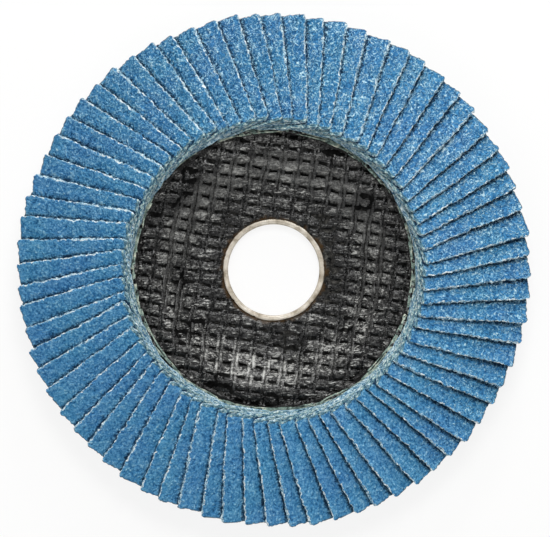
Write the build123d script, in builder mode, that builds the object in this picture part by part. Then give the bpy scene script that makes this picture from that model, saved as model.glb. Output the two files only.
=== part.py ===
# Conical flap disc for an angle grinder: overlapping leaves of abrasive cloth glued in a
# ring on a pressed glass-fibre backing plate, with a crimped steel ring in the bore.
#
# Frame: millimetres, +Z up through the abrasive face. The origin is the centre of the
# bore on the hub's back face, so the disc lies on its hub with the flaps upward.
# A point's height on the plate is measured from that face, a radius from the bore axis.

from build123d import *
from math import asin, atan2, cos, degrees, hypot, radians, sin, sqrt, tan
import os
import random

os.makedirs("parts", exist_ok=True)

# ---------------------------------------------------------------- driving dimensions
# lengths in millimetres, angles in degrees

disc_diameter = 125.0  # over the raised outer corners of evenly placed flaps
window_diameter = 72.6  # opening left between the raised inner corners
bore_diameter = 22.23  # standard grinder spindle seat

# backing plate: one pressing of even thickness
plate_thickness = 2.6
plate_diameter = 117.0
floor_diameter = 41.0  # flat floor of the hub, where the lock nut seats
crest_outer_diameter = 62.0
crest_width = 2.5
dish_depth = 6.2  # from the crest down to the floor
cone_angle = 12.0  # fall of the flap ring towards the rim
press_radius = 3.0  # bends of the dish, on the face side
hole_chamfer = 0.3

# openings between the yarns of the glass cloth, pressed into the plate's face
opening_length = 2.3
opening_width = 0.6
opening_depth = 0.3
warp_pitch = 3.85  # from one opening to the next along a row
weft_pitch = 3.0  # from row to row
weave_angle = -8.5  # of the rows against +X
weave_border = 0.4  # left plain beside the ring's seat and beside each bend

# bore ring: pressed steel sheet, flanged at the back and crimped over the face
ring_thickness = 0.45
ring_bend = 0.42  # outside of each fold, taken off by a flat
flange_diameter = 30.0
lip_diameter = 24.8
ring_clearance = 0.05  # between the ring and the plate around it
crimp_angles = (62.0, 5.0, 319.0, 247.0, 217.0, 163.0)  # where the lip split as it was folded
crimp_width = 0.8
crimp_depth = 0.4

# flaps: stiff leaves of abrasive cloth
flap_count = 72
first_flap_angle = 1.4  # from +X, to the first flap's centreline
flap_width = 19.5  # from the glued edge to the raised edge
flap_thickness = 0.9
flap_clearance = 0.04  # left between neighbours where they are closest
flap_seat = 0.35  # resin under the glued edge
slide_scatter = 0.45  # most that a flap is placed high or low in its slot
reach_scatter = 0.3  # most that it is placed in or out along its length
yaw_scatter = 0.8  # most that it is turned in its own plane
scatter_seed = 11

# resin bed that the glued edges stand in
bed_depth = 1.7
bed_margin = 0.4  # squeezed out past the inner ends of the flaps
bed_rim_margin = 0.6  # stops short of the plate's rim

# ---------------------------------------------------------------- worked-out values

bore_radius = bore_diameter / 2
barrel_radius = bore_radius + ring_thickness
hole_radius = barrel_radius + ring_clearance
plate_radius = plate_diameter / 2
floor_radius = floor_diameter / 2
crest_radius = crest_outer_diameter / 2
dish_radius = crest_radius - crest_width
crest_height = plate_thickness + dish_depth
lip_seat_radius = lip_diameter / 2 + ring_clearance

slope = radians(cone_angle)
pitch = radians(360 / flap_count)


def cone_height(radius):
    # height of the plate's conical flap seat at a distance from the axis
    return crest_height - (radius - crest_radius) * tan(slope)


# The flaps lean on one another like shingles. Neighbours are closest at the inner end,
# low down where they begin to overlap, and lean just enough to clear each other there.
inner_radius = window_diameter / 2
tightest_across = flap_width / 2 - inner_radius * pitch
tightest_reach = sqrt(inner_radius**2 - (flap_width / 2) ** 2) - flap_thickness
tightest_reach -= reach_scatter + flap_width / 2 * radians(yaw_scatter)
tightest_drop = tightest_across * sin(slope)
stack_step = (flap_thickness + flap_clearance) / pitch
lean = asin(stack_step / hypot(tightest_reach, tightest_drop))
lean += atan2(tightest_drop, tightest_reach)

# where a flap's raised top edge stands, from the middle of its underside
edge_across = flap_width / 2 * cos(lean) - flap_thickness * sin(lean)
edge_outward = (flap_width / 2 * sin(lean) + flap_thickness * cos(lean)) * sin(slope)

outer_reach = sqrt((disc_diameter / 2) ** 2 - edge_across**2) - edge_outward
inner_reach = sqrt(inner_radius**2 - edge_across**2) - edge_outward
flap_length = (outer_reach - inner_reach) / cos(slope)
middle_lift = flap_seat + flap_width / 2 * sin(lean)
middle_reach = (outer_reach + inner_reach) / 2
seat_reach = middle_reach - middle_lift * sin(slope)

flap_along = Vector(cos(slope), 0, -sin(slope))
flap_upward = Vector(sin(slope) * cos(lean), sin(lean), cos(slope) * cos(lean))
flap_middle = Vector(middle_reach, 0, cone_height(seat_reach) + middle_lift * cos(slope))
flap_underside = Plane(origin=flap_middle, x_dir=flap_along, z_dir=flap_upward)

bed_inner_radius = inner_reach - middle_lift * sin(slope) - bed_margin
bed_outer_radius = plate_radius - bed_rim_margin

# ---------------------------------------------------------------- backing plate

dish_bends = ((floor_radius, plate_thickness), (dish_radius, crest_height))
bend_reach = press_radius * tan(atan2(dish_depth, dish_radius - floor_radius) / 2)
floor_span = (lip_seat_radius, floor_radius - bend_reach)
slope_span = (floor_radius + bend_reach, dish_radius - bend_reach)


def between_bends(place):
    # whether an opening at this place lies wholly on the flat floor or on the dish's slope
    along, across = abs(place.position.X), abs(place.position.Y)
    nearest = hypot(max(along - opening_length / 2, 0), max(across - opening_width / 2, 0))
    farthest = hypot(along + opening_length / 2, across + opening_width / 2)
    return any(
        inner + weave_border < nearest and farthest < outer - weave_border
        for inner, outer in (floor_span, slope_span)
    )


with BuildPart() as openings:
    # the layer of the face that the openings are sunk through
    with BuildSketch(Plane.XZ):
        with BuildLine():
            Polyline((bore_radius, plate_thickness), *dish_bends)
            offset(amount=opening_depth, side=Side.BOTH, kind=Kind.INTERSECTION)
        make_face()
    revolve(axis=Axis.Z)
    with BuildSketch(Plane.XY.rotated((0, 0, weave_angle))):
        columns = 2 * int(dish_radius / warp_pitch) + 1
        rows = 2 * int(dish_radius / weft_pitch) + 1
        with GridLocations(warp_pitch, weft_pitch, columns, rows) as weave:
            opening_places = [place for place in weave.local_locations if between_bends(place)]
        with Locations(*opening_places):
            Rectangle(opening_length, opening_width)
    extrude(amount=crest_height + opening_depth, mode=Mode.INTERSECT)

with BuildPart() as backing_plate:
    with BuildSketch(Plane.XZ) as plate_section:
        with BuildLine():
            Polyline(
                (hole_radius, plate_thickness),
                *dish_bends,
                (crest_radius, crest_height),
                (plate_radius, cone_height(plate_radius)),
            )
            offset(amount=plate_thickness, side=Side.RIGHT, kind=Kind.INTERSECTION)
        make_face()
        for bend in dish_bends:
            fillet(plate_section.vertices().sort_by_distance(bend)[0], press_radius)
    revolve(axis=Axis.Z)
    add(openings.part, mode=Mode.SUBTRACT)
    # seats of the ring's flange and lip, sunk flush in the two faces of the hub
    with BuildSketch(Plane.XY):
        Circle(flange_diameter / 2 + ring_clearance)
    extrude(amount=ring_thickness, mode=Mode.SUBTRACT)
    with BuildSketch(Plane.XY.offset(plate_thickness)):
        Circle(lip_seat_radius)
    extrude(amount=-ring_thickness, mode=Mode.SUBTRACT)
    bore_edges = backing_plate.edges().filter_by(GeomType.CIRCLE).filter_by(Plane.XY)
    chamfer(bore_edges.sort_by(SortBy.RADIUS)[:2], hole_chamfer)

backing_plate.part.label = "backing_plate"
export_step(backing_plate.part, "parts/backing_plate.step")

# ---------------------------------------------------------------- bore ring

ring_bends = ((bore_radius, 0), (bore_radius, plate_thickness))

with BuildPart() as bore_ring:
    with BuildSketch(Plane.XZ) as ring_section:
        with BuildLine():
            Polyline((flange_diameter / 2, 0), *ring_bends, (lip_diameter / 2, plate_thickness))
            offset(amount=ring_thickness, side=Side.RIGHT, kind=Kind.INTERSECTION)
        make_face()
        for bend in ring_bends:
            chamfer(ring_section.vertices().sort_by_distance(bend)[0], ring_bend)
    revolve(axis=Axis.Z)
    # splits in the folded lip
    with BuildSketch(Plane.XY.offset(plate_thickness)):
        for crimp_angle in crimp_angles:
            with PolarLocations(lip_diameter / 2, 1, start_angle=crimp_angle):
                Rectangle(2 * crimp_depth, crimp_width)
    extrude(amount=-ring_thickness, mode=Mode.SUBTRACT)

bore_ring.part.label = "bore_ring"
export_step(bore_ring.part, "parts/bore_ring.step")

# ---------------------------------------------------------------- flaps

placing = random.Random(scatter_seed)
flap_places = []
for number in range(flap_count):
    # A flap only ever strays within its own plane, so it never meets its neighbours.
    reach = placing.uniform(-reach_scatter, reach_scatter)
    slide = placing.uniform(-slide_scatter, slide_scatter)
    yaw = placing.uniform(-yaw_scatter, yaw_scatter)
    turn = Rotation(0, 0, first_flap_angle + degrees(pitch) * number)
    flap_places.append(turn * flap_underside.location * Location((reach, slide, 0), (0, 0, yaw)))

flaps = []
for pair in range(flap_count // 2):
    with BuildPart() as flap_pair:
        for place in flap_places[2 * pair : 2 * pair + 2]:
            with BuildSketch(Plane(place)):
                Rectangle(flap_length, flap_width)
            extrude(amount=flap_thickness)
    flap_pair.part.label = f"flap_pair_{pair + 1:02d}"
    export_step(flap_pair.part, f"parts/{flap_pair.part.label}.step")
    flaps += flap_pair.part.solids()

# ---------------------------------------------------------------- resin bed

# The bed is a ring of flat facets, one to each flap and tangent to the plate's cone, so
# it lies on the plate without cutting into it.
bed_foot = cone_height(bed_outer_radius)
bed_head = cone_height(bed_inner_radius)
facet_half_width = bed_outer_radius * tan(pitch / 2)

with BuildPart() as bed_facet:
    with BuildSketch(Plane.XZ):
        with BuildLine():
            Polyline(
                (bed_inner_radius, bed_head),
                (bed_outer_radius, bed_foot),
                (bed_outer_radius, bed_foot + bed_depth),
                (bed_inner_radius, bed_head + bed_depth),
                close=True,
            )
        make_face()
    extrude(amount=facet_half_width, both=True)
    with BuildSketch(Plane.XY):
        with BuildLine():
            Polyline(
                (0, 0),
                (bed_outer_radius, facet_half_width),
                (bed_outer_radius, -facet_half_width),
                close=True,
            )
        make_face()
    extrude(amount=bed_head + bed_depth, mode=Mode.INTERSECT)

with BuildPart() as resin_bed:
    with PolarLocations(0, flap_count):
        add(bed_facet.part)
    # every flap stands in its own slot
    add(flaps, mode=Mode.SUBTRACT)

resin_bed.part.label = "resin_bed"
export_step(resin_bed.part, "parts/resin_bed.step")
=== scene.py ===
# Flap disc: blue zirconia flaps on a black woven glass-fibre plate, seen from straight above.

import bpy
import math
import random
from mathutils import Matrix, Vector, noise


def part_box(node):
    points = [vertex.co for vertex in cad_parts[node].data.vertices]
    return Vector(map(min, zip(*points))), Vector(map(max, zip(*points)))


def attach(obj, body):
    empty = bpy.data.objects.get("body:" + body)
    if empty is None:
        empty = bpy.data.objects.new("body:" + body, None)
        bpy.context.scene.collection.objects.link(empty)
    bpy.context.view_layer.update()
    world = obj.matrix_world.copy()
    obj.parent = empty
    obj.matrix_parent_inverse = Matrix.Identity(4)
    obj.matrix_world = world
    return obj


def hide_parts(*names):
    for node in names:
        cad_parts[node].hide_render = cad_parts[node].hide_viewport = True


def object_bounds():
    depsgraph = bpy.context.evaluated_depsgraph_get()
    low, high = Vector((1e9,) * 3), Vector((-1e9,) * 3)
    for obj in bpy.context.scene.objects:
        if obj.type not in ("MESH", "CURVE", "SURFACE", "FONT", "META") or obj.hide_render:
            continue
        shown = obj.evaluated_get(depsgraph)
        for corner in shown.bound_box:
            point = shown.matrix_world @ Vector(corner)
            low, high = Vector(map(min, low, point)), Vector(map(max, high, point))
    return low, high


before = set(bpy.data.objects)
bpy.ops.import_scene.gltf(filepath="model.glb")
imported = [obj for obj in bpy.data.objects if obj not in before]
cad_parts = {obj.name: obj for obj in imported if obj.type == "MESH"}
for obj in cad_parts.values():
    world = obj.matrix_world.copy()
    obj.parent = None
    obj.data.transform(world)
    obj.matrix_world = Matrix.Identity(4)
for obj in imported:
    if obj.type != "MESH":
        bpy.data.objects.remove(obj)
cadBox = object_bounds()
mm = 0.001  # in metres, as every mesh here
hair = 0.01 * mm  # slack in a test of where a point lies

# ---- shared helpers


def pickNothing():
    if bpy.context.object and bpy.context.object.mode != "OBJECT":
        bpy.ops.object.mode_set(mode="OBJECT")
    bpy.ops.object.select_all(action="DESELECT")


def pickOnly(piece):
    pickNothing()
    piece.select_set(True)
    bpy.context.view_layer.objects.active = piece


def editFaces(piece, wanted):
    # opens edit mode with just the faces that pass the test selected
    pickOnly(piece)
    bpy.ops.object.mode_set(mode="EDIT")
    bpy.ops.mesh.select_mode(type="FACE")
    bpy.ops.mesh.select_all(action="DESELECT")
    bpy.ops.object.mode_set(mode="OBJECT")
    for face in piece.data.polygons:
        face.select = wanted(face)
    bpy.ops.object.mode_set(mode="EDIT")


def editEdges(piece, wanted):
    # opens edit mode with the edges selected whose middle passes the test
    pickOnly(piece)
    bpy.ops.object.mode_set(mode="EDIT")
    bpy.ops.mesh.select_mode(type="EDGE")
    bpy.ops.mesh.select_all(action="DESELECT")
    bpy.ops.object.mode_set(mode="OBJECT")
    points = piece.data.vertices
    for edge in piece.data.edges:
        edge.select = wanted((points[edge.vertices[0]].co + points[edge.vertices[1]].co) / 2)
    bpy.ops.object.mode_set(mode="EDIT")


def closeEdit():
    bpy.ops.mesh.select_all(action="SELECT")
    bpy.ops.mesh.remove_doubles(threshold=0.001 * mm)
    bpy.ops.mesh.normals_make_consistent(inside=False)
    bpy.ops.object.mode_set(mode="OBJECT")


def applyModifier(piece, kind, settings):
    pickOnly(piece)
    modifier = piece.modifiers.new(kind.title(), kind)
    for name, value in settings.items():
        setattr(modifier, name, value)
    bpy.ops.object.modifier_apply(modifier=modifier.name)


def joined(pieces, name):
    pickNothing()
    for piece in pieces:
        piece.select_set(True)
    bpy.context.view_layer.objects.active = pieces[0]
    bpy.ops.object.join()
    whole = bpy.context.object
    whole.name = whole.data.name = name
    return whole


def smoothAll(piece):
    for face in piece.data.polygons:
        face.use_smooth = True


def swell(waves, spot):
    # a sum of noises, each with the size of its waves and its reach
    return sum(reach * noise.noise(spot / size) for size, reach in waves)


def wander(waves, along, seed, level):
    # the same along a line; lines with other seeds wander their own way
    return sum(reach * noise.noise(Vector((along / size, seed, level))) for size, reach in waves)


def gridSheet(name, length, width, columns, rows):
    pickNothing()
    bpy.ops.mesh.primitive_grid_add(x_subdivisions=columns, y_subdivisions=rows, size=1)
    sheet = bpy.context.object
    sheet.name = sheet.data.name = name
    bpy.ops.object.mode_set(mode="EDIT")
    bpy.ops.transform.resize(value=(length, width, 1))
    bpy.ops.object.mode_set(mode="OBJECT")
    return sheet


# ---- materials


def linear(paint):
    # sRGB hex, as a colour picker shows it, to the linear colour that a node holds
    parts = [int(paint[i : i + 2], 16) / 255 for i in (1, 3, 5)]
    parts = [c / 12.92 if c <= 0.04045 else ((c + 0.055) / 1.055) ** 2.4 for c in parts]
    return (*parts, 1)


def perMm(size):
    # texture scale that makes one feature about this many millimetres
    return 1 / (size * mm)


def bandsPerMm(pitch):
    # scale of a wave texture, which runs 20 radians for each unit, for bands this far apart
    return 2 * math.pi / 20 * perMm(pitch)


def addNode(material, kind, settings=(), links=()):
    # A setting is the node's own where it has one of that name, and otherwise a socket's value.
    # Sockets that share a name go by number: on a mix node 0 is the share, 2 and 3 are values
    # and 6 and 7 are colours.
    tree = material.node_tree
    node = tree.nodes.new(kind)
    for name, value in dict(settings).items():
        if name == "stops":
            ramp = node.color_ramp
            while len(ramp.elements) < len(value):
                ramp.elements.new(0.5)
            for element, (place, paint) in zip(ramp.elements, value):
                element.position = place
                element.color = linear(paint)
        elif isinstance(name, str) and hasattr(node, name):
            setattr(node, name, value)
        else:
            node.inputs[name].default_value = value
    for socket, source in dict(links).items():
        tree.links.new(source, node.inputs[socket])
    return node


def newMaterial(name):
    material = bpy.data.materials.new(name)
    material.use_nodes = True
    material.node_tree.nodes.clear()
    return material


def finishMaterial(material, colour, relief, settings, links=()):
    # relief is what stands up, the strength of its bump, and its depth in millimetres
    height, strength, depth = relief
    bump = addNode(
        material, "ShaderNodeBump", {"Strength": strength, "Distance": depth * mm},
        {"Height": height},
    )
    shader = addNode(
        material, "ShaderNodeBsdfPrincipled", settings,
        {"Base Color": colour, "Normal": bump.outputs["Normal"], **dict(links)},
    )
    addNode(material, "ShaderNodeOutputMaterial", (), {"Surface": shader.outputs["BSDF"]})
    return material


def gritLevel(material, place):
    # how far each spot of the coat stands up into the light
    grime, strings, clumps = (
        addNode(
            material, "ShaderNodeTexNoise",
            {"Scale": perMm(size), "Detail": detail, "Roughness": rough, "Distortion": twist},
            {"Vector": place},
        ).outputs["Fac"]
        for size, detail, rough, twist in (
            (0.6, 2, 0.6, 0.6), (1.1, 1, 0.5, 1.0), (2.2, 3, 0.7, 0.5)
        )
    )
    grains = addNode(
        material, "ShaderNodeTexVoronoi", {"Scale": perMm(0.55)}, {"Vector": place}
    ).outputs
    # thin pale strings of grain, along the lines where a noise crosses its middle value
    off = addNode(
        material, "ShaderNodeMath", {"operation": "SUBTRACT", 1: 0.5}, {0: strings}
    ).outputs[0]
    away = addNode(material, "ShaderNodeMath", {"operation": "ABSOLUTE"}, {0: off}).outputs[0]
    crests = addNode(
        material, "ShaderNodeMapRange",
        {"From Min": 0.015, "From Max": 0.06, "To Min": 0.2, "To Max": -0.06}, {"Value": away},
    ).outputs[0]
    # painted light: the pale strings, which stand partly for ridges that catch the light, are drawn
    # strongest on the side of the disc towards +X and +Y, where the key and low lamps are, and
    # faintest on the far side
    towardsLitSide = (0.6, 0.8, 0)
    side = addNode(
        material, "ShaderNodeVectorMath", {"operation": "DOT_PRODUCT", 1: towardsLitSide}, {0: place}
    ).outputs["Value"]
    litSideStrings = addNode(
        material, "ShaderNodeMapRange",
        {"From Min": -35 * mm, "From Max": 40 * mm, "To Min": 0.25, "To Max": 1.2},
        {"Value": side},
    ).outputs[0]
    crests = addNode(
        material, "ShaderNodeMath", {"operation": "MULTIPLY"}, {0: crests, 1: litSideStrings}
    ).outputs[0]
    # each grain has its own shade, and falls off to the resin around it
    level = crests
    for pattern, share in (
        (grime, 0.56), (clumps, 0.32), (grains["Color"], 0.14), (grains["Distance"], -0.2)
    ):
        level = addNode(
            material, "ShaderNodeMath", {"operation": "MULTIPLY_ADD", 1: share},
            {0: pattern, 2: level},
        ).outputs[0]
    # the sum is lifted to the middle of the colours
    return addNode(material, "ShaderNodeMath", {"operation": "ADD", 1: 0.19}, {0: level}).outputs[0]


def gritColour(material, place, level):
    # blue from its pits to its grains, its hue drifting a little over the disc
    drift = addNode(
        material, "ShaderNodeTexNoise", {"Scale": perMm(9), "Detail": 1}, {"Vector": place}
    ).outputs["Fac"]
    blue = addNode(
        material, "ShaderNodeValToRGB",
        {
            "stops": (
                (0.22, "#0A2D4E"),
                (0.34, "#1F476D"),
                (0.43, "#35638D"),
                (0.51, "#477CAB"),
                (0.60, "#5C93BF"),
                (0.70, "#76A9CE"),
                (0.80, "#9AC8E2"),
                (0.92, "#CFEBF6"),
            )
        },
        {"Fac": level},
    )
    hue = addNode(
        material, "ShaderNodeMapRange",
        {"From Min": 0.3, "From Max": 0.7, "To Min": 0.494, "To Max": 0.504}, {"Value": drift},
    ).outputs[0]
    return addNode(
        material, "ShaderNodeHueSaturation", {"Saturation": 1.09},
        {"Hue": hue, "Color": blue.outputs["Color"]},
    ).outputs["Color"]


def paintedShadeBesideNextLeaf(material, level, fromNext, colour):
    # painted shade: the strip beside the next leaf's raised edge is darkened to navy, standing for
    # the shadow in the crevice under that edge; its border is ragged along the grains
    ragged = addNode(
        material, "ShaderNodeMath", {"operation": "MULTIPLY_ADD", 1: 2.6 * mm},
        {0: level, 2: fromNext},
    ).outputs[0]
    shade = addNode(
        material, "ShaderNodeMapRange",
        {"From Min": 1.15 * mm, "From Max": 1.85 * mm, "To Min": 0.82, "To Max": 0.0},
        {"Value": ragged},
    ).outputs[0]
    return addNode(
        material, "ShaderNodeMix", {"data_type": "RGBA", 7: linear("#081F38")},
        {0: shade, 6: colour},
    ).outputs[2]


def chippedCoat(material, place, onLeaf, leafLength, colour):
    # bare cloth where the coat has chipped off: a ragged rim along the raised edge, and a wide one
    # at the inner end; the outer end is drawn with a thin dark rim
    fromEnd, fromRaised, _ = addNode(material, "ShaderNodeSeparateXYZ", (), {0: onLeaf}).outputs
    fibres = addNode(
        material, "ShaderNodeTexNoise",
        {"Scale": perMm(1.1), "Detail": 3, "Roughness": 0.75, "Distortion": 0.8},
        {"Vector": place},
    ).outputs["Fac"]
    fromRim = addNode(
        material, "ShaderNodeMath", {"operation": "SUBTRACT", 0: leafLength}, {1: fromEnd}
    ).outputs[0]
    rims = []
    for distance, width in ((fromRaised, 0.13), (fromEnd, 0.75), (fromRim, 0.14)):
        bitten = addNode(
            material, "ShaderNodeMath", {"operation": "MULTIPLY_ADD", 1: -1.2 * mm},
            {0: fibres, 2: distance},
        ).outputs[0]
        rims.append(
            addNode(
                material, "ShaderNodeMapRange",
                {"From Min": (width - 0.64) * mm, "From Max": (width - 0.54) * mm,
                 "To Min": 1.0, "To Max": 0.0},
                {"Value": bitten},
            ).outputs[0]
        )
    yarns = addNode(
        material, "ShaderNodeMapping", {"Scale": (2.2, 0.3, 1)}, {"Vector": onLeaf}
    ).outputs[0]
    threads = addNode(
        material, "ShaderNodeTexNoise", {"Scale": perMm(1), "Detail": 3, "Roughness": 0.7},
        {"Vector": yarns},
    ).outputs["Fac"]
    for rim, stops, pattern in (
        (rims[0], ((0.38, "#44769E"), (0.5, "#97BFD5"), (0.6, "#EAF4F4")), fibres),
        (rims[2], ((0.4, "#1D2F3C"), (0.6, "#6F8790")), fibres),
        (
            rims[1],
            ((0.32, "#1B3C4B"), (0.44, "#4C7C94"), (0.54, "#94B7BC"), (0.66, "#DCEAE3")),
            threads,
        ),
    ):
        paint = addNode(material, "ShaderNodeValToRGB", {"stops": stops}, {"Fac": pattern})
        colour = addNode(
            material, "ShaderNodeMix", {"data_type": "RGBA"},
            {0: rim, 6: colour, 7: paint.outputs["Color"]},
        ).outputs[2]
    return colour


def zirconiaGrit(leafLength):
    # Zirconia grit bonded with blue resin on cloth: matt, speckled by grains that catch the
    # light and pits that don't. Grains are about 0.35 mm, drawn as 0.55 mm so that they show.
    material = newMaterial("blue zirconia grit in resin")
    place = addNode(material, "ShaderNodeTexCoord").outputs["Object"]
    onLeaf = addNode(
        material, "ShaderNodeAttribute", {"attribute_name": "leafPlace"}
    ).outputs["Vector"]
    fromNext = addNode(material, "ShaderNodeSeparateXYZ", (), {0: onLeaf}).outputs["Z"]
    level = gritLevel(material, place)
    colour = gritColour(material, place, level)
    # painted shade along the crevice under the next leaf's raised edge
    colour = paintedShadeBesideNextLeaf(material, level, fromNext, colour)
    colour = chippedCoat(material, place, onLeaf, leafLength, colour)
    return finishMaterial(
        material, colour, (level, 1.0, 0.65), {"Roughness": 0.7, "Specular IOR Level": 0.22}
    )


def cutCloth():
    # Cut edge of resin-filled cotton polyester cloth: pale fibre ends with blue resin between.
    material = newMaterial("cut cotton polyester cloth")
    place = addNode(material, "ShaderNodeTexCoord").outputs["Object"]
    fibres = addNode(
        material, "ShaderNodeTexNoise",
        {"Scale": perMm(1.0), "Detail": 4, "Roughness": 0.8, "Distortion": 1.0}, {"Vector": place},
    ).outputs["Fac"]
    colour = addNode(
        material, "ShaderNodeValToRGB",
        {"stops": ((0.38, "#1E4362"), (0.46, "#5283A3"), (0.53, "#A5C8D6"), (0.62, "#F2FAF8"))},
        {"Fac": fibres},
    ).outputs["Color"]
    return finishMaterial(
        material, colour, (fibres, 0.8, 0.2), {"Roughness": 0.85, "Specular IOR Level": 0.25}
    )


def clothBack():
    # Back of the abrasive cloth: matt twill, grey-green, stiffened with resin. Its ribs are about
    # 0.4 mm apart, drawn at 1 mm so that they show.
    material = newMaterial("resin-sized twill cloth")
    place = addNode(material, "ShaderNodeTexCoord").outputs["Object"]
    ribs = addNode(
        material, "ShaderNodeTexWave",
        {"Scale": bandsPerMm(1.0), "Distortion": 1.5, "Detail": 2, "Detail Scale": 2},
        {"Vector": place},
    ).outputs["Fac"]
    colour = addNode(
        material, "ShaderNodeValToRGB", {"stops": ((0.1, "#6F7F7C"), (0.9, "#A9B3A8"))},
        {"Fac": ribs},
    ).outputs["Color"]
    return finishMaterial(material, colour, (ribs, 0.5, 0.1), {"Roughness": 0.8})


def rustNearRing(material, place, colour):
    # brown stain that has crept into the resin from the steel ring
    radius = addNode(
        material, "ShaderNodeVectorMath", {"operation": "LENGTH"}, {0: place}
    ).outputs["Value"]
    blot = addNode(
        material, "ShaderNodeTexNoise", {"Scale": perMm(1.6), "Detail": 3}, {"Vector": place}
    ).outputs["Fac"]
    ragged = addNode(
        material, "ShaderNodeMath", {"operation": "MULTIPLY_ADD", 1: -4 * mm}, {0: blot, 2: radius}
    ).outputs[0]
    stain = addNode(
        material, "ShaderNodeMapRange",
        {"From Min": 10.4 * mm, "From Max": 11.4 * mm, "To Min": 0.8, "To Max": 0.0},
        {"Value": ragged},
    ).outputs[0]
    return addNode(
        material, "ShaderNodeMix", {"data_type": "RGBA", 7: linear("#49361F")},
        {0: stain, 6: colour},
    ).outputs[2]


def resinedYarn(name, stretch, dull):
    # Glass yarn soaked in black phenolic resin: near black where the resin lies deep, grey on the
    # pale crowns, part of whose paleness is painted sheen and glint, and with painted glints: pale
    # spots that stand for highlights on polished resin, beside real glossy spots of low roughness.
    # Filaments are 0.01 mm, drawn as bundles of 0.4 mm so that they show. stretch draws them out
    # along the thread, and dull is the highest roughness.
    material = newMaterial(name)
    place = addNode(material, "ShaderNodeTexCoord").outputs["Object"]
    crown, broken = (
        addNode(material, "ShaderNodeAttribute", {"attribute_name": mark}).outputs["Fac"]
        for mark in ("crown", "broken")
    )
    glintStretch = (0.45, 2.1, 1)  # the painted glints, which stand for highlights on polished spots, are drawn out along the rows
    turned, flattened = (
        addNode(
            material, "ShaderNodeMapping",
            {"Rotation": (0, 0, -math.radians(weave["turn"])), "Scale": scale}, {"Vector": place},
        ).outputs[0]
        for scale in (stretch, glintStretch)
    )
    strands, specks, pits, paintedGlints = (
        addNode(
            material, "ShaderNodeTexNoise",
            {"Scale": perMm(size), "Detail": detail, "Roughness": 0.65, "Distortion": twist},
            {"Vector": where},
        ).outputs["Fac"]
        for size, detail, twist, where in (
            (1, 3, 0, turned), (0.6, 1, 0.7, place), (1.3, 2, 0.9, place), (0.8, 1, 0.6, flattened)
        )
    )
    height = addNode(
        material, "ShaderNodeMath", {"operation": "MULTIPLY_ADD", 1: 0.9}, {0: strands, 2: crown}
    ).outputs[0]
    coarse = addNode(
        material, "ShaderNodeMapRange",
        {"To Min": 0.45, "To Max": 1.45}, {"Value": broken},
    ).outputs[0]
    speckle = addNode(
        material, "ShaderNodeMath", {"operation": "SUBTRACT", 1: 0.5}, {0: specks}
    ).outputs[0]
    height = addNode(
        material, "ShaderNodeMath", {"operation": "MULTIPLY_ADD"}, {0: speckle, 1: coarse, 2: height}
    ).outputs[0]
    # resin pits, and painted glints that stand for highlights on polished spots, as many as the
    # cloth is broken up there
    for pattern, start, end, first, last in (
        (pits, 0.36, 0.48, -0.6, 0.0), (paintedGlints, 0.57, 0.67, 0.0, 0.7)
    ):
        spots = addNode(
            material, "ShaderNodeMapRange",
            {"From Min": start, "From Max": end, "To Min": first, "To Max": last},
            {"Value": pattern},
        ).outputs[0]
        height = addNode(
            material, "ShaderNodeMath", {"operation": "MULTIPLY_ADD"},
            {0: spots, 1: broken, 2: height},
        ).outputs[0]
    spread = addNode(
        material, "ShaderNodeMapRange", {"From Min": 0.45, "From Max": 1.55}, {"Value": height}
    ).outputs[0]
    colour = addNode(
        material, "ShaderNodeValToRGB",
        {
            "stops": (
                (0.06, "#020202"),
                (0.26, "#131313"),
                (0.44, "#353534"),
                (0.66, "#676765"),
                (0.92, "#B4B4B0"),
            )
        },
        {"Fac": spread},
    ).outputs["Color"]
    gloss = addNode(
        material, "ShaderNodeMapRange",
        {"From Min": 0.42, "From Max": 0.62, "To Min": 0.2, "To Max": dull}, {"Value": specks},
    ).outputs[0]
    return finishMaterial(
        material, rustNearRing(material, place, colour), (height, 0.6, 0.15),
        {"Specular IOR Level": 0.4}, {"Roughness": gloss},
    )


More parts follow.
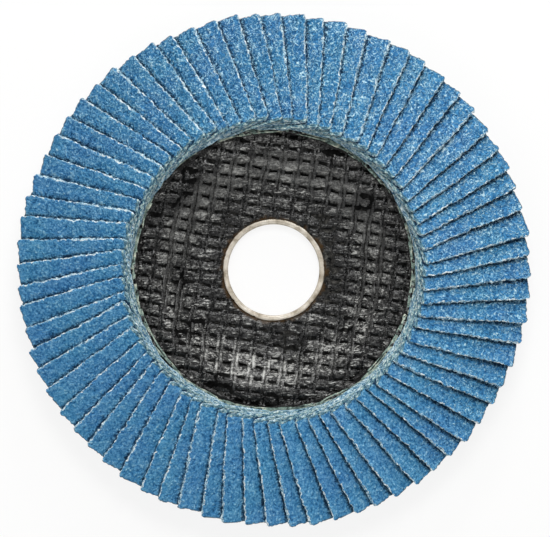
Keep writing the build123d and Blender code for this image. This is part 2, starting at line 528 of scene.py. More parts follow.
def phenolicResin():
    # Black phenolic resin of the pressing, matt, with the cloth's imprint where no yarn lies.
    material = newMaterial("black phenolic resin over glass cloth")
    place = addNode(material, "ShaderNodeTexCoord").outputs["Object"]
    turned = addNode(
        material, "ShaderNodeMapping", {"Rotation": (0, 0, -math.radians(weave["turn"]))},
        {"Vector": place},
    ).outputs[0]
    bands = [
        addNode(
            material, "ShaderNodeTexWave",
            {"bands_direction": direction, "Scale": bandsPerMm(weave[pitch]), "Distortion": 0.6,
             "Detail": 3, "Detail Scale": 1.5},
            {"Vector": turned},
        ).outputs["Fac"]
        for direction, pitch in (("Y", "weftPitch"), ("X", "warpPitch"))
    ]
    imprint = addNode(
        material, "ShaderNodeMath", {"operation": "MAXIMUM"}, {0: bands[0], 1: bands[1]}
    ).outputs[0]
    mottle = addNode(
        material, "ShaderNodeTexNoise",
        {"Scale": perMm(1.2), "Detail": 4, "Roughness": 0.7, "Distortion": 0.5}, {"Vector": place},
    ).outputs["Fac"]
    # the hub's floor has been rubbed, the slope and crest keep their black
    radius = addNode(
        material, "ShaderNodeVectorMath", {"operation": "LENGTH"}, {0: place}
    ).outputs["Value"]
    rubbed = addNode(
        material, "ShaderNodeMapRange",
        {"From Min": 18 * mm, "From Max": 21 * mm, "To Min": 0.2, "To Max": 0.0},
        {"Value": radius},
    ).outputs[0]
    # and so have the threads on the underside
    facing = addNode(material, "ShaderNodeTexCoord").outputs["Normal"]
    upward = addNode(material, "ShaderNodeSeparateXYZ", (), {0: facing}).outputs["Z"]
    under = addNode(
        material, "ShaderNodeMapRange",
        {"From Min": -0.4, "From Max": -0.1, "To Min": 0.3, "To Max": 0.0}, {"Value": upward},
    ).outputs[0]
    rubbed = addNode(
        material, "ShaderNodeMath", {"operation": "MULTIPLY_ADD"}, {0: under, 1: imprint, 2: rubbed}
    ).outputs[0]
    shown = addNode(material, "ShaderNodeMath", {"operation": "ADD"}, {0: mottle, 1: rubbed})
    colour = addNode(
        material, "ShaderNodeValToRGB",
        {
            "stops": (
                (0.36, "#010101"), (0.5, "#050505"), (0.62, "#171716"), (0.75, "#333230"),
                (0.9, "#5C5B57"),
            )
        },
        {"Fac": shown.outputs[0]},
    ).outputs["Color"]
    height = addNode(
        material, "ShaderNodeMath", {"operation": "MULTIPLY_ADD", 1: 1.2}, {0: mottle, 2: imprint}
    ).outputs[0]
    return finishMaterial(
        material, rustNearRing(material, place, colour), (height, 0.7, 0.2),
        {"Roughness": 0.65, "Specular IOR Level": 0.06},
    )


def curedResin():
    # Cured flap adhesive: dark brown, and dull from the dust on it.
    material = newMaterial("cured epoxy resin")
    place = addNode(material, "ShaderNodeTexCoord").outputs["Object"]
    dust = addNode(
        material, "ShaderNodeTexNoise", {"Scale": perMm(1.5), "Detail": 4}, {"Vector": place}
    ).outputs["Fac"]
    colour = addNode(
        material, "ShaderNodeValToRGB", {"stops": ((0.35, "#070605"), (0.7, "#17130F"))},
        {"Fac": dust},
    ).outputs["Color"]
    return finishMaterial(
        material, colour, (dust, 0.5, 0.3), {"Roughness": 0.6, "Specular IOR Level": 0.3}
    )


def platedSteel():
    # Pressed steel sheet with a satin, slightly warm plating, stained in patches. Grime on it
    # takes away some of the metal's shine.
    material = newMaterial("satin plated steel sheet")
    place = addNode(material, "ShaderNodeTexCoord").outputs["Object"]
    stain = addNode(
        material, "ShaderNodeTexNoise", {"Scale": perMm(3), "Detail": 5, "Roughness": 0.65},
        {"Vector": place},
    ).outputs["Fac"]
    colour = addNode(
        material, "ShaderNodeValToRGB",
        {"stops": ((0.35, "#998E7C"), (0.5, "#C8BFB0"), (0.7, "#E2DCD1"))}, {"Fac": stain},
    ).outputs["Color"]
    gloss = addNode(
        material, "ShaderNodeMapRange",
        {"From Min": 0.3, "From Max": 0.7, "To Min": 0.65, "To Max": 0.5}, {"Value": stain},
    ).outputs[0]
    return finishMaterial(
        material, colour, (stain, 0.25, 0.05), {"Metallic": 0.55}, {"Roughness": gloss}
    )


# ---- flaps: one leaf is modelled flat, then worn and set in each CAD flap's place

flap = {
    "cell": 0.27 * mm,  # of the mesh where the leaf shows
    "shownWidth": 6.8 * mm,  # the rest lies under the next leaf
    "hiddenRows": 5,
    "coat": 0.3 * mm,  # grit layer on the cloth
    "thinned": 0.36 * mm,  # taken off the underside along the raised edge
    "thinnedWidth": 4.0 * mm,
    "curl": 0.2 * mm,  # lift of the raised edge at the rim of the disc
    "curlWidth": 3.5 * mm,
    "trim": 0.06 * mm,  # ends are cut this much inside the CAD flap, so that frayed ends stay in it
    # how the cut edges wander: size of a wave, and its reach to either side
    "edgeWaves": ((9 * mm, 0.34 * mm), (1.5 * mm, 0.22 * mm), (0.6 * mm, 0.32 * mm)),
    "edgeHold": 1.6 * mm,  # the wander dies out this far inside
    "cornerWear": 0.9 * mm,  # radius that the raised corners are worn to
    "gritLumps": ((1.5 * mm, 0.09 * mm), (0.6 * mm, 0.10 * mm)),
    "unwornLumps": 2.2,  # how much higher they stand beside the next leaf, where nothing wears
    "unwornWidth": 1.2 * mm,
    "lumpsUnderNext": 1 * mm,  # they go on this far below the next leaf
    "edgeDrop": 0.12 * mm,  # grit rubbed off along the raised edge and the rim
    "edgeDropWidth": 0.5 * mm,
    "plies": 1.5 * mm,  # depth in which the wander of an edge changes
    # how far apart in the noise: one leaf from the next, a leaf's rim, and its inner end
    "seeds": (7.31, 2.6, 5.2),
}


def flapPlaces(nodeName):
    # the size of each flap in a CAD node, and the frame at the middle of its underside
    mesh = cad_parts[nodeName].data
    solids = []
    for face in mesh.polygons:
        # a solid's loose triangles share corners, to a tenth of a micrometre
        corners = {tuple(round(c, 7) for c in mesh.vertices[i].co) for i in face.vertices}
        touching = [solid for solid in solids if solid & corners]
        solids = [solid for solid in solids if not solid & corners]
        solids.append(corners.union(*touching))
    places = []
    for solid in sorted(solids, key=sorted):
        first, *others = [Vector(corner) for corner in sorted(solid)]
        middle = sum(others, first) / len(solid)
        # nearest corners of a long flat box: across its thickness, its width, both, its length
        others.sort(key=lambda corner: (corner - first).length)
        thickness, width, length = (others[i] - first for i in (0, 1, 3))
        upward = thickness.normalized() * (1 if thickness.z > 0 else -1)
        outward = length.normalized() * (1 if length.dot(middle) > 0 else -1)
        across = upward.cross(outward)
        place = Matrix((outward, across, upward)).transposed().to_4x4()
        place.translation = middle - upward * thickness.length / 2
        places.append((place, (length.length, width.length, thickness.length)))
    return places


def modelLeaf(size, finishes):
    length, width, thickness = size
    shown = flap["shownWidth"]
    raisedEdge = -width / 2
    flat = 0.9  # a face whose normal rises or falls more than this lies level
    leaf = gridSheet(
        "leaf", length, shown, round(length / flap["cell"]), round(shown / flap["cell"])
    )
    bpy.ops.object.mode_set(mode="EDIT")
    bpy.ops.mesh.select_all(action="SELECT")
    bpy.ops.transform.translate(value=(0, raisedEdge + shown / 2, thickness))
    # the hidden part, out to the glued edge
    innerSide = raisedEdge + shown
    editEdges(leaf, lambda middle: middle.y > innerSide - hair)
    step = (width - shown) / flap["hiddenRows"]
    for _ in range(flap["hiddenRows"]):
        bpy.ops.mesh.extrude_edges_move(TRANSFORM_OT_translate={"value": (0, step, 0)})
    # thickness: the grit coat, then the cloth
    bpy.ops.mesh.select_mode(type="FACE")
    bpy.ops.mesh.select_all(action="SELECT")
    for depth in (flap["coat"], thickness - flap["coat"]):
        bpy.ops.mesh.extrude_region_move(TRANSFORM_OT_translate={"value": (0, 0, -depth)})
    closeEdit()
    # the underside becomes two flat faces, which meet where the cloth begins to thin
    thinStart = raisedEdge + round(flap["thinnedWidth"] / flap["cell"]) * flap["cell"]
    for side in (1, -1):
        editFaces(
            leaf,
            lambda face: face.normal.z < -flat and (face.center.y - thinStart) * side > 0,
        )
        bpy.ops.mesh.dissolve_faces()
        closeEdit()
    for material in finishes:
        leaf.data.materials.append(material)
    for face in leaf.data.polygons:
        top, bottom = face.normal.z > flat, face.normal.z < -flat
        face.material_index = 0 if top else 2 if bottom else 1
        face.use_smooth = top
    return leaf


def wornLeaf(leaf, size, number, nextEdge):
    # a copy of the leaf with cut edges and grit of its own; nextEdge is the line, in this leaf's
    # own frame, along which the raised edge of the next leaf lies on it
    length, width, thickness = size
    copy = leaf.copy()
    copy.data = leaf.data.copy()
    bpy.context.scene.collection.objects.link(copy)
    marks = copy.data.attributes.new("leafPlace", "FLOAT_VECTOR", "POINT").data
    (startAlong, startAcross), (endAlong, endAcross) = nextEdge
    slope = (endAcross - startAcross) / (endAlong - startAlong)
    leafSeed, rimSeed, innerSeed = flap["seeds"]
    seed = number * leafSeed
    hold, waves, corner = flap["edgeHold"], flap["edgeWaves"], flap["cornerWear"]
    for point, mark in zip(copy.data.vertices, marks):
        along, across, height = point.co
        fromRaised, fromInner, fromRim = across + width / 2, along + length / 2, length / 2 - along
        fromNext = startAcross + slope * (along - startAlong) - across
        mark.vector = (fromInner, fromRaised, fromNext)
        layer = height / flap["plies"]
        for fromEnd, inward in ((fromInner, 1), (fromRim, -1)):
            if fromRaised < corner and fromEnd < corner:
                reach = math.hypot(corner - fromRaised, corner - fromEnd)
                share = min(1.0, corner / reach) if reach else 1.0
                point.co.y += (corner - fromRaised) * (1 - share)
                point.co.x += inward * (corner - fromEnd) * (1 - share)
        if fromRaised < hold:
            point.co.y += (1 - fromRaised / hold) * wander(waves, along, seed, layer)
        if fromRim < hold:
            shift = wander(waves, across, seed + rimSeed, layer) - flap["trim"]
            point.co.x += (1 - fromRim / hold) * min(shift, 0.0)
        if fromInner < hold:
            shift = wander(waves, across, seed + innerSeed, layer) + flap["trim"]
            point.co.x += (1 - fromInner / hold) * shift
        if height < hair and fromRaised < flap["thinnedWidth"]:
            point.co.z += flap["thinned"] * (1 - fromRaised / flap["thinnedWidth"])
        if fromRaised < flap["curlWidth"]:
            lift = (1 - fromRaised / flap["curlWidth"]) ** 2
            point.co.z += flap["curl"] * fromInner / length * lift
        if height > thickness - hair and fromNext > -flap["lumpsUnderNext"]:
            spot = Vector((along, across, seed * mm))
            unworn = max(0, 1 - max(0, fromNext) / flap["unwornWidth"])
            point.co.z += (1 + (flap["unwornLumps"] - 1) * unworn) * swell(flap["gritLumps"], spot)
            fromEdge = min(fromRaised, fromRim)
            point.co.z -= flap["edgeDrop"] * max(0, 1 - fromEdge / flap["edgeDropWidth"])
    return copy


def setLeaves():
    leaves = [
        (name, place, size)
        for name in sorted(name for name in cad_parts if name.startswith("flap_pair"))
        for place, size in flapPlaces(name)
    ]
    leaves.sort(key=lambda leaf: math.atan2(leaf[1].col[0].y, leaf[1].col[0].x))
    newSize = leaves[0][2]
    leaf = modelLeaf(newSize, (zirconiaGrit(newSize[0]), cutCloth(), clothBack()))
    placed = {}
    for number, (name, place, size) in enumerate(leaves):
        _, above, (length, width, _) = leaves[(number + 1) % len(leaves)]
        toHere = place.inverted() @ above
        nextEdge = [
            (toHere @ Vector((side * length / 2, -width / 2, 0))).xy for side in (-1, 1)
        ]
        copy = wornLeaf(leaf, size, number, nextEdge)
        copy.data.transform(place)
        placed.setdefault(name, []).append(copy)
    for number, name in enumerate(sorted(placed), 1):
        pair = joined(placed[name], f"abrasiveFlaps{number:02d}")
        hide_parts(name)
        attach(pair, "root")
    bpy.data.objects.remove(leaf)
    print("flaps:", len(leaves), "in pieces:", len(placed))


# ---- woven glass cloth on the plate's face

weave = {
    # in millimetres; wefts run along X and warps along Y, before the turn
    "turn": -8.5,  # of the rows against +X, degrees
    "warpPitch": 3.85,
    "weftPitch": 3.0,
    "weftWidth": 2.6,
    "warpWidth": 0.95,
    "warpApart": 1.02,  # the two threads of a warp pair
    "thickness": 0.12,
    "innerRadius": 12.55,
    "outerRadius": 34.4,  # over the bed's squeezed-out lip, up to the flaps
    "weftCell": 0.45,
    "warpCell": 0.42,
    "weftRows": 6,
    "warpRows": 3,
    "lean": 0.35,  # how far the crest of a pad of weft lies towards the middle of the disc
    "weftHeights": (0.02, 0.26, 0.2),  # lowest, of a pad, and lost on a pad's lower side
    "warpHeights": (0.08, 0.05, 0.12, 0.05),  # lowest, crown, of a pad, and its way over and under
    "stray": ((14, 0.6), (3.4, 0.4)),  # sideways wander of a thread: size of a wave, reach
    "frayed": ((1.3, 0.2), (0.6, 0.14)),  # broken filaments: size, height
    "smoothing": (0.55, 0.3),  # on the slope: share of them that a weft loses, and a warp besides
    "patchSize": (5, 2),  # of paler and darker stretches, along a thread and across it
    "sunk": 0.08,  # where resin has flowed over a thread
    "resinPatch": 9,  # size of such a place
    "resinFree": 0.35,  # the more, the fewer of them
    "ringResin": (12.5, 0.8),  # all is covered inside this radius, less and less over this width
    "slope": (25, 6),  # of the dish: radius of its middle, and its reach to either side
    "upperFade": 25,  # the slope changes from pitted and glinting to whole over this stretch of Y
    "upperWhole": 0.85,  # share of pits and painted glints that its upper side lacks
    "upperPaintedSheen": 0.07,  # painted sheen: how much paler the upper side of the slope is drawn
    "polish": 0.7,  # share of pits that a warp lacks on the slope
    "bare": 0.45,  # how pale a thread's own crown is, before the paleness by radius
    # radius, and how much paler the yarn is drawn there
    "rubbed": ((12, 0.0), (19, 0.04), (21.5, 0.24), (27, 0.24), (29, 0.04), (34, 0.02), (99, 0.02)),
}


def faceProfile():
    # height of the plate and the resin bed at each radius, between the pressed openings
    step, rays = 0.25 * mm, 36
    above = 50 * mm  # where the rays fall from
    spare = 4  # rings past the cloth's edge, for threads that stray outwards
    heights = []
    for ring in range(round(weave["outerRadius"] * mm / step) + spare):
        found = [0]
        for ray in range(rays):
            turn = 2 * math.pi * (ray + 0.3) / rays
            start = Vector((ring * step * math.cos(turn), ring * step * math.sin(turn), above))
            for name in ("backing_plate", "resin_bed"):
                hit, spot, _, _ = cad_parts[name].ray_cast(start, Vector((0, 0, -1)))
                if hit:
                    found.append(spot.z)
        heights.append(max(found))

    def faceHeight(radius):
        slot = min(radius / step, len(heights) - 1.001)
        low = int(slot)
        return heights[low] + (heights[low + 1] - heights[low]) * (slot - low)

    return faceHeight


def resinCover(x, y, radius):
    # 1 where the weave stands free, 0 where resin has flowed over it; all in metres
    patch = noise.noise(Vector((x, y, 0)) / (weave["resinPatch"] * mm)) + weave["resinFree"]
    patch = min(1, max(0, patch * 4))
    covered, width = weave["ringResin"]
    nearRing = min(1, max(0, (radius / mm - covered) / width))
    return (0.25 + 0.75 * patch) * nearRing


def yarnPaleness(radius):
    # how much paler the yarn is drawn: most on the dish's slope, little on its crest; the
    # radius is in metres
    places = weave["rubbed"]
    for (low, first), (high, second) in zip(places, places[1:]):
        if radius / mm < high:
            return first + (second - first) * max(0, (radius / mm - low) / (high - low))


def onSlope(radius):
    # 1 on the slope of the dish, 0 on its floor and crest; the radius is in millimetres
    middle, reach = weave["slope"]
    return min(1, 1.6 * max(0, 1 - abs(radius - middle) / reach))


def brokenUp(y, radius):
    # how far the cloth's print is broken by pits and painted glints: least on the upper slope, so
    # that the painted glints gather on the lower slope, where the lamps' highlights fall
    upper = min(1, max(0, 0.5 + y / (weave["upperFade"] * mm)))
    slope = onSlope(radius / mm)
    return (0.7 + 0.3 * slope) * (1 - weave["upperWhole"] * slope * upper)


def layCloth(threads, faceHeight, relief, polished):
    # relief(along, across) is the thread's height in millimetres and the share of it that is
    # crown, in the cloth's own frame; polished is 1 for threads with fewer pits on the slope
    turn = Matrix.Rotation(math.radians(weave["turn"]), 4, "Z")
    weftLoss, warpLoss = weave["smoothing"]
    crowns, breaks = (
        threads.data.attributes.new(mark, "FLOAT", "POINT").data for mark in ("crown", "broken")
    )
    for point, crown, broken in zip(threads.data.vertices, crowns, breaks):
        along, across, level = point.co
        height, bare = relief(along / mm, across / mm)
        spot = Vector((along / mm, across / mm, 0))
        slope = onSlope(spot.length)
        height += swell(weave["frayed"], spot) * (1 - (weftLoss + warpLoss * polished) * slope)
        for size, reach in weave["stray"]:
            along += reach * mm * noise.noise(spot / size + Vector((0, 0, 4.5)))
            across += reach * mm * noise.noise(spot / size + Vector((0, 0, 9.5)))
        place = turn @ Vector((along, across, 0))
        radius = place.length
        free = resinCover(place.x, place.y, radius)
        lift = height * mm * free - weave["sunk"] * mm * (1 - free)
        point.co = (place.x, place.y, faceHeight(radius) + level + lift)
        crown.value = bare * (0.3 + 0.7 * free) * weave["bare"] + yarnPaleness(radius)
        # painted sheen: the upper side of the slope is drawn paler
        crown.value += weave["upperPaintedSheen"] * slope * max(0, place.y / radius)
        broken.value = brokenUp(place.y, radius) * (1 - weave["polish"] * polished * slope)


def threadSet(name, width, cell, rows, places, alongX):
    # flat ribbons at the given places, trimmed to the ring of plate that shows
    length = 2 * weave["outerRadius"]
    columns = round(length / cell)
    threads = []
    for place in places:
        if alongX:
            thread = gridSheet(name, length * mm, width * mm, columns, rows)
            shift = Vector((0, place * mm, 0))
        else:
            thread = gridSheet(name, width * mm, length * mm, rows, columns)
            shift = Vector((place * mm, 0, 0))
        thread.data.transform(Matrix.Translation(shift))
        threads.append(thread)
    cloth = joined(threads, name)
    outer, inner = weave["outerRadius"] * mm, weave["innerRadius"] * mm
    editFaces(cloth, lambda face: not inner < face.center.xy.length < outer)
    bpy.ops.mesh.delete(type="FACE")
    bpy.ops.object.mode_set(mode="OBJECT")
    applyModifier(cloth, "SOLIDIFY", {"thickness": weave["thickness"] * mm, "offset": -1})
    return cloth


def weaveCloth(faceHeight, yarnAcross, yarnAlong):
    outer = weave["outerRadius"]
    weftPitch, warpPitch = weave["weftPitch"], weave["warpPitch"]
    wefts, warps = (
        [(i + 0.5) * pitch for i in range(-math.ceil(outer / pitch), math.ceil(outer / pitch))]
        for pitch in (weftPitch, warpPitch)
    )
    patchLength, patchWidth = weave["patchSize"]

    def pad(off, towardsMiddle):
        # 1 on the crest and 0 at the sides of a pad, the steeper side towards the middle
        lean = weave["lean"] * towardsMiddle
        reach = 1 + abs(lean) if (off - lean) * lean < 0 else 1 - abs(lean)
        return 1 - ((off - lean) / reach) ** 2

    def weftRelief(along, across):
        # flat pads between the warp pairs; on the slope their lower side drops lower, and its crown
        # colour is darkened as painted shade
        radius = max(1, math.hypot(along, across))
        offAcross = 2 * ((across / weftPitch) % 1 - 0.5) * weftPitch / weave["weftWidth"]
        offAlong = 2 * ((along / warpPitch + 0.5) % 1 - 0.5)
        rows = max(0, pad(offAcross, -across / radius))
        columns = max(0, pad(offAlong, -along / radius))
        dome = min(1, 1.5 * rows) * min(1, 0.5 + 1.2 * columns)
        downhill = -(0.9 * offAcross * across + 1.5 * offAlong * along) / radius
        dropAndPaintedShade = min(1, max(0, (downhill - 0.6) / 0.3)) * onSlope(radius)
        spot = Vector((along / patchLength, across / patchWidth, 7.5))
        patchy = 0.95 + 0.45 * noise.noise(spot)
        lowest, ofPad, lost = weave["weftHeights"]
        # painted shade: the crown's paleness is taken away where the pad drops
        return lowest + ofPad * dome - lost * dropAndPaintedShade, (0.4 + 0.6 * dome) * (1 - dropAndPaintedShade) * patchy

    weftCloth = threadSet(
        "glassWefts", weave["weftWidth"], weave["weftCell"], weave["weftRows"], wefts, True
    )
    layCloth(weftCloth, faceHeight, weftRelief, 0)
    weftCloth.data.materials.append(yarnAcross)
    pieces = [weftCloth]
    for side in (-1, 1):
        shift = side * weave["warpApart"] / 2

        def warpRelief(along, across):
            # a short pad between the wefts' dips; over one weft and under the next, its twin the
            # other way about
            radius = max(1, math.hypot(along, across))
            off = ((along - shift) / warpPitch) % 1 - 0.5
            dome = 1 - (off * warpPitch / (weave["warpWidth"] / 2)) ** 2
            row = 1 - (2 * ((across / weftPitch) % 1 - 0.5)) ** 4
            wave = side * math.sin(math.pi * across / weftPitch)
            lower = max(0, -across / radius) ** 3
            spot = Vector((along / patchWidth, across / patchLength, 3.5))
            patchy = 0.85 + 0.55 * noise.noise(spot)
            bare = (0.52 + 0.25 * dome) * (0.4 + 0.6 * row) * (0.85 + 0.15 * wave) * patchy
            # painted highlight: on the slope's lower side (towards -Y) the warps are drawn paler,
            # standing for the lamps' glints there
            bare *= 1 + 1.6 * lower * onSlope(radius)
            lowest, ofCrown, ofPad, ofWave = weave["warpHeights"]
            return lowest + ofCrown * dome + ofPad * row + ofWave * wave, bare

        warpCloth = threadSet(
            "glassWarps", weave["warpWidth"], weave["warpCell"], weave["warpRows"],
            [place + shift for place in warps], False,
        )
        layCloth(warpCloth, faceHeight, warpRelief, 1)
        warpCloth.data.materials.append(yarnAlong)
        pieces.append(warpCloth)
    cloth = joined(pieces, "glassCloth")
    smoothAll(cloth)
    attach(cloth, "root")
    print("cloth faces:", len(cloth.data.polygons))


# ---- loose yarns, frayed out of the flaps' inner ends and stuck along the edge of the window

fray = {
    # in millimetres
    "count": 96,
    "seed": 5,
    "crowding": 0.5,  # towards +Y
    "nearest": 33.5,  # to the disc's axis, before a yarn strays
    "furthest": 34.5,
    "kept": (33.2, 34.8),  # radii that no yarn strays out of
    "shortest": 4,
    "longest": 15,
    "width": 0.34,
    "thickness": 0.16,
    "bevel": 0.05,
    "cell": 0.5,
    "lift": 0.12,  # off the resin bed
    "slant": 0.06,  # most that a yarn runs outwards or inwards along its length
    "stray": ((6, 0.5), (1.6, 0.2)),  # sideways wander: size of a wave, reach
    "apart": 3.7,  # one yarn's wander from the next one's, in the noise
}


def frayedYarn():
    # Cotton polyester yarn pulled out of the cloth: pale, matt, stained by resin and grit dust.
    material = newMaterial("frayed cotton polyester yarn")
    place = addNode(material, "ShaderNodeTexCoord").outputs["Object"]
    stain = addNode(
        material, "ShaderNodeTexNoise", {"Scale": perMm(1.4), "Detail": 3, "Roughness": 0.7},
        {"Vector": place},
    ).outputs["Fac"]
    colour = addNode(
        material, "ShaderNodeValToRGB",
        {"stops": ((0.34, "#46524D"), (0.46, "#82988F"), (0.56, "#B4C1B2"), (0.68, "#E6E5D0"))},
        {"Fac": stain},
    ).outputs["Color"]
    return finishMaterial(
        material, colour, (stain, 0.6, 0.1), {"Roughness": 0.85, "Specular IOR Level": 0.2}
    )


def layLooseYarns(faceHeight):
    chance = random.Random(fray["seed"])
    innermost, outermost = fray["kept"]
    yarns = []
    for number in range(fray["count"]):
        length = chance.uniform(fray["shortest"], fray["longest"])
        inner = chance.uniform(fray["nearest"], fray["furthest"])
        start = 2 * math.pi * (number + chance.uniform(-0.4, 0.4)) / fray["count"]
        start += fray["crowding"] * math.cos(start)
        slant = chance.uniform(-fray["slant"], fray["slant"])
        yarn = gridSheet(
            "looseYarn", length * mm, fray["width"] * mm, round(length / fray["cell"]), 1
        )
        applyModifier(yarn, "SOLIDIFY", {"thickness": fray["thickness"] * mm, "offset": 1})
        applyModifier(
            yarn, "BEVEL", {"width": fray["bevel"] * mm, "segments": 1, "limit_method": "ANGLE"}
        )
        for point in yarn.data.vertices:
            along, across, level = (c / mm for c in point.co)
            off = wander(fray["stray"], along, number * fray["apart"], 0)
            # across is taken off, because bent the other way round the yarn turns inside out
            radius = min(max(inner - across + slant * along + off, innermost), outermost)
            turn = start + along / inner
            height = faceHeight(radius * mm) + (fray["lift"] + level) * mm
            point.co = (radius * mm * math.cos(turn), radius * mm * math.sin(turn), height)
        yarns.append(yarn)
    loose = joined(yarns, "looseYarns")
    loose.data.materials.append(frayedYarn())
    smoothAll(loose)
    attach(loose, "root")
    print("loose yarns:", fray["count"])


# ---- bore ring: a pressed sleeve, its lip folded over the plate's face

sleeve = {
    # in millimetres
    "bore": 11.115,
    "outer": 11.565,
    "lip": 12.4,
    "thickness": 0.45,
    "edge": 0.05,  # bevel of the sheet's cut edges
    "fold": 0.1,  # bevel inside each fold
    "segments": 240,
    "splits": (62, 5, 319, 247, 217, 163),  # degrees where the lip tore a little as it was folded
    "splitDepth": 0.22,
    "splitWidth": 0.35,
    "ragged": ((5, 0.16), (1.2, 0.07)),  # of the lip's rim: size of a wave, reach
    "inset": 0.05,  # of the whole rim
}


def modelSleeve():
    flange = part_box("bore_ring")[1].x / mm
    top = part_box("bore_ring")[1].z / mm
    bore, outer, lip, thick = (sleeve[name] for name in ("bore", "outer", "lip", "thickness"))
    edge, fold = sleeve["edge"], sleeve["fold"]
    under = top - thick
    section = (
        # the flange at the back, and its rounded turn into the bore
        (flange, edge), (flange - edge, 0), (bore + 0.4, 0), (bore + 0.12, 0.1), (bore, 0.4),
        # up the bore and over the fold, with the groove behind it
        (bore, top - 0.5), (bore + 0.06, top - 0.22), (bore + 0.2, top - 0.07),
        (bore + 0.38, top - 0.01), (bore + 0.48, top - 0.05), (bore + 0.6, top),
        # out over the lip and back below it
        (lip - 0.12, top), (lip - 0.03, top - 0.05), (lip, top - 0.15), (lip, under + edge),
        (lip - edge, under), (outer + fold, under),
        # down behind the bore and out again
        (outer, under - fold), (outer, thick + fold), (outer + fold, thick),
        (flange - edge, thick), (flange, thick - edge), (flange, edge),
    )
    pickNothing()
    bpy.ops.mesh.primitive_circle_add(
        vertices=sleeve["segments"], radius=section[0][0] * mm, location=(0, 0, section[0][1] * mm)
    )
    ring = bpy.context.object
    ring.name = ring.data.name = "boreSleeve"
    bpy.ops.object.transform_apply(location=True)
    bpy.ops.object.mode_set(mode="EDIT")
    bpy.ops.mesh.select_all(action="SELECT")
    for (fromRadius, fromHeight), (radius, height) in zip(section, section[1:]):
        bpy.ops.mesh.extrude_edges_move(
            TRANSFORM_OT_translate={"value": (0, 0, (height - fromHeight) * mm)}
        )
        share = radius / fromRadius
        bpy.ops.transform.resize(value=(share, share, 1), center_override=(0, 0, height * mm))
    closeEdit()
    for point in ring.data.vertices:
        radius, turn = point.co.xy.length / mm, math.atan2(point.co.y, point.co.x)
        if point.co.z < under * mm - hair or radius < outer:
            continue
        spot = Vector((math.cos(turn), math.sin(turn), 0)) * lip
        shift = swell(sleeve["ragged"], spot) - sleeve["inset"]
        for split in sleeve["splits"]:
            off = (math.degrees(turn) - split + 180) % 360 - 180
            near = math.radians(abs(off)) * lip / sleeve["splitWidth"]
            shift -= sleeve["splitDepth"] * max(0, 1 - near)
        share = (radius - outer) / (lip - outer)
        point.co.xy *= 1 + min(shift, 0.0) * share / radius
    smoothAll(ring)
    ring.data.materials.append(platedSteel())
    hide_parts("bore_ring")
    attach(ring, "root")
    print("sleeve faces:", len(ring.data.polygons))


# ---- CAD pieces that keep their own mesh


def dressNode(name, material):
    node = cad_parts[name]
    node.data.materials.clear()
    node.data.materials.append(material)
    print("dressed:", name)


# ---- studio

studio = {
    "floorSize": 3.0,
    "floorGap": 0.02 * mm,  # so that it doesn't lie in the plane of the disc's flat back
    "floor": "#F4F4F2",
    "floorGlow": 0.85,  # how much of what the camera sees of it is plain white
    "ambient": 0.34,
    "overhead": 0.1,  # what a glossy face sees straight above; the horizon is white
    "ceiling": (0.35, 0.85),  # height in the sky where it begins to darken, and where it ends
    "lamps": {
        # degrees clockwise from +Y, elevation, distance, size, watts
        "key": (10, 60, 0.55, 0.2, 1.75),
        "fill": (215, 50, 0.9, 0.6, 1.45),
        "low": (8, 24, 0.8, 0.14, 2.1),
    },
}

view = {
    "height": 1.2,
    "picture": 132.9 * mm,  # width of the plane of the flaps that fills the frame
    "centre": (0.32 * mm, 0.34 * mm),
    "plane": 0.75,  # height of that plane, as a share of the disc's
    "sensor": 36,
    "clipStart": 0.05,
}


def layFloor():
    pickNothing()
    bpy.ops.mesh.primitive_plane_add(
        size=studio["floorSize"], location=(0, 0, -studio["floorGap"])
    )
    floor = bpy.context.object
    floor.name = "floor"
    paper = newMaterial("white paper sweep")
    # to the camera the floor glows, so that it is near white and still keeps a shadow
    lit = addNode(paper, "ShaderNodeBsdfDiffuse", {"Color": linear(studio["floor"])})
    glow = addNode(paper, "ShaderNodeEmission", {"Color": linear("#FFFFFF"), "Strength": 1.0})
    ray = addNode(paper, "ShaderNodeLightPath")
    share = addNode(
        paper, "ShaderNodeMath", {"operation": "MULTIPLY", 1: studio["floorGlow"]},
        {0: ray.outputs["Is Camera Ray"]},
    )
    mixed = addNode(
        paper, "ShaderNodeMixShader", (),
        {0: share.outputs[0], 1: lit.outputs[0], 2: glow.outputs[0]},
    )
    addNode(paper, "ShaderNodeOutputMaterial", (), {"Surface": mixed.outputs[0]})
    floor.data.materials.append(paper)


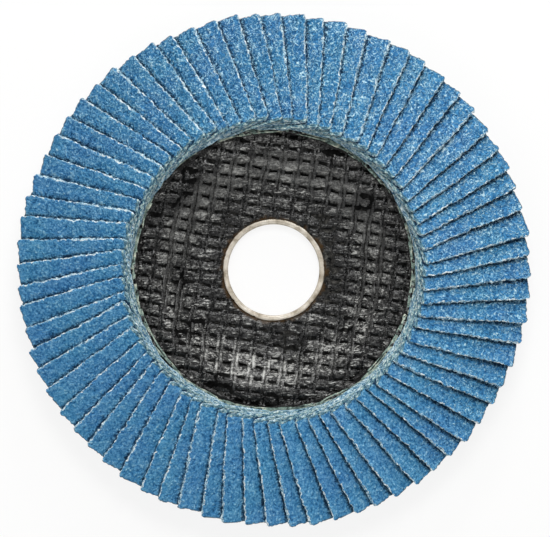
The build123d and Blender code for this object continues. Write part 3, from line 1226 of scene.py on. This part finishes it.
def lightSky():
    world = bpy.data.worlds.new("studio")
    world.use_nodes = True
    world.node_tree.nodes.clear()
    bpy.context.scene.world = world
    ray = addNode(world, "ShaderNodeLightPath")
    shiny = addNode(
        world, "ShaderNodeMath", {"operation": "MAXIMUM"},
        {0: ray.outputs["Is Glossy Ray"], 1: ray.outputs["Is Transmission Ray"]},
    )
    # glossy faces see a white horizon that darkens overhead, as under a studio ceiling
    way = addNode(world, "ShaderNodeTexCoord").outputs["Generated"]
    upward = addNode(world, "ShaderNodeSeparateXYZ", (), {0: way}).outputs["Z"]
    low, high = studio["ceiling"]
    ceiling = addNode(
        world, "ShaderNodeMapRange",
        {"From Min": low, "From Max": high, "To Min": 1.0, "To Max": studio["overhead"]},
        {"Value": upward},
    )
    forShiny = addNode(
        world, "ShaderNodeMix", {2: studio["ambient"]},
        {0: shiny.outputs[0], 3: ceiling.outputs[0]},
    )
    forAll = addNode(
        world, "ShaderNodeMix", {3: 1.0}, {0: ray.outputs["Is Camera Ray"], 2: forShiny.outputs[0]}
    )
    sky = addNode(
        world, "ShaderNodeBackground", {"Color": (1, 1, 1, 1)}, {"Strength": forAll.outputs[0]}
    )
    addNode(world, "ShaderNodeOutputWorld", (), {"Surface": sky.outputs[0]})


def hangLamps():
    for name, (clock, elevation, distance, size, watts) in studio["lamps"].items():
        around, up = math.radians(clock), math.radians(elevation)
        toLamp = Vector(
            (math.sin(around) * math.cos(up), math.cos(around) * math.cos(up), math.sin(up))
        )
        bpy.ops.object.light_add(type="AREA", location=toLamp * distance)
        lamp = bpy.context.object
        lamp.name = name
        lamp.data.size = size
        lamp.data.energy = watts
        lamp.rotation_euler = toLamp.to_track_quat("Z", "Y").to_euler()
    print("lamps:", len(studio["lamps"]))


def placeCamera():
    pickNothing()
    across, up = view["centre"]
    plane = cadBox[1].z * view["plane"]
    bpy.ops.object.camera_add(location=(across, up, plane + view["height"]), rotation=(0, 0, 0))
    camera = bpy.context.object
    camera.data.sensor_width = view["sensor"]
    camera.data.lens = view["sensor"] * view["height"] / view["picture"]
    camera.data.clip_start = view["clipStart"]
    bpy.context.scene.camera = camera


yarnAcross = resinedYarn("glass yarn in black resin, wefts", (0.5, 2.4, 1), 0.6)
yarnAlong = resinedYarn("glass yarn in black resin, warps", (2.4, 0.5, 1), 0.35)
setLeaves()
faceHeight = faceProfile()
weaveCloth(faceHeight, yarnAcross, yarnAlong)
layLooseYarns(faceHeight)
dressNode("backing_plate", phenolicResin())
dressNode("resin_bed", curedResin())
modelSleeve()
layFloor()
lightSky()
hangLamps()
placeCamera()
bpy.context.scene.view_settings.view_transform = "Standard"

print("done")
